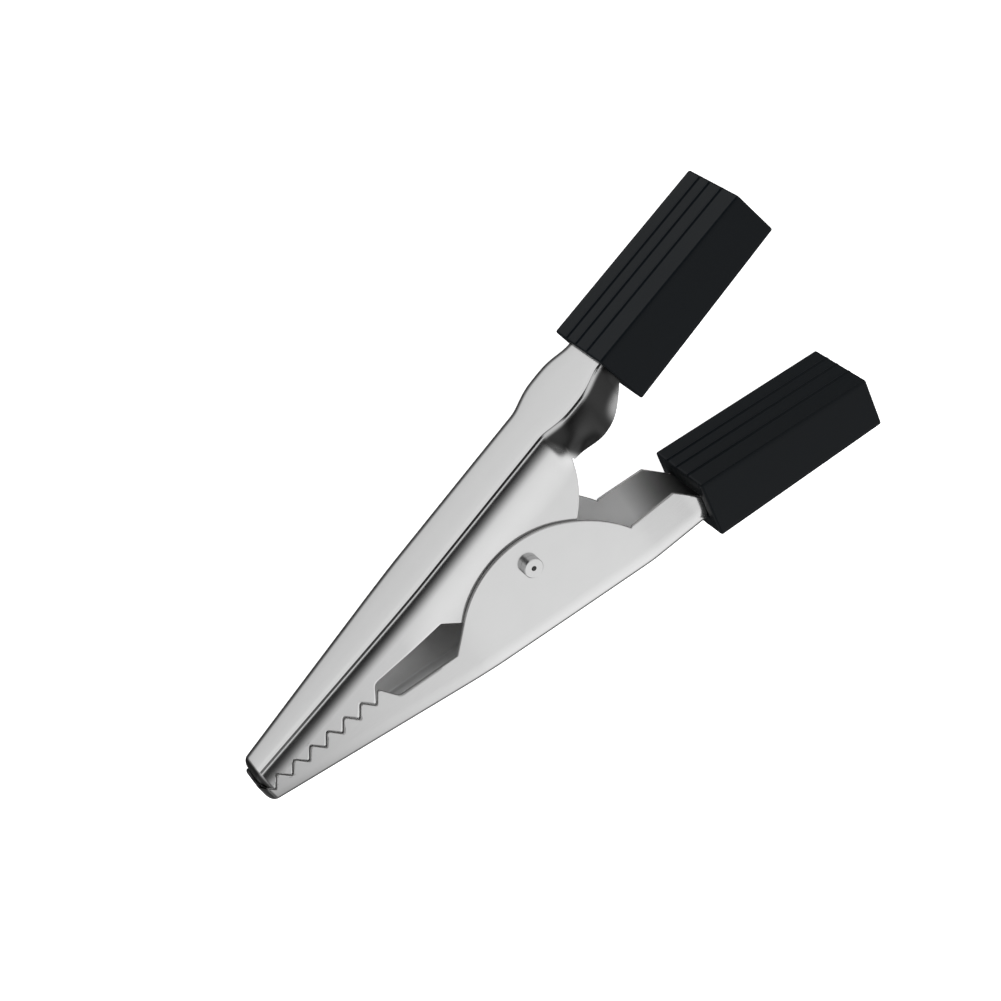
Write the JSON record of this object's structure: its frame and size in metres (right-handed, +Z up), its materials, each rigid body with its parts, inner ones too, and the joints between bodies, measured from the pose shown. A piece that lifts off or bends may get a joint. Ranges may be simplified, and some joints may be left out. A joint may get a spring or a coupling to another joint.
{
  "type": "battery clip",
  "caption": "Spring-loaded alligator clip: two formed sheet-steel jaws with meshing teeth, pivoted on a rivet, with slip-on plastic grips.",
  "frame": {"origin": "on the floor under the middle of the clip's bounding box, with the clip lying on the flat sides of its grips", "axes": "+X towards the nose along the bite line, +Z up and along the pin, inner jaw towards -Y, outer jaw towards +Y"},
  "size_m": [0.0777, 0.0352, 0.01],
  "materials": {
    "plated_sheet": "satin nickel plating",
    "rivet_steel": "satin nickel plating",
    "spring_wire": "drawn wire",
    "grip_plastic": "fine grain"
  },
  "bodies": {
    "inner_half": {"inner_jaw": "plated_sheet", "pivot_rivet": "rivet_steel", "torsion_spring": "spring_wire", "inner_grip": "grip_plastic"},
    "outer_half": {"outer_jaw": "plated_sheet", "outer_grip": "grip_plastic"}
  },
  "joints": [
    {"name": "jaw_hinge", "type": "hinge", "parent": "inner_half", "child": "outer_half", "pos_m": [0.0023, 0.0005, 0.005], "axis": [0, 0, 1], "range_deg": [0, 30], "stiffness_Nm_per_rad": 0.22, "springref_deg": -31.51, "deforming": ["torsion_spring"]}
  ]
}
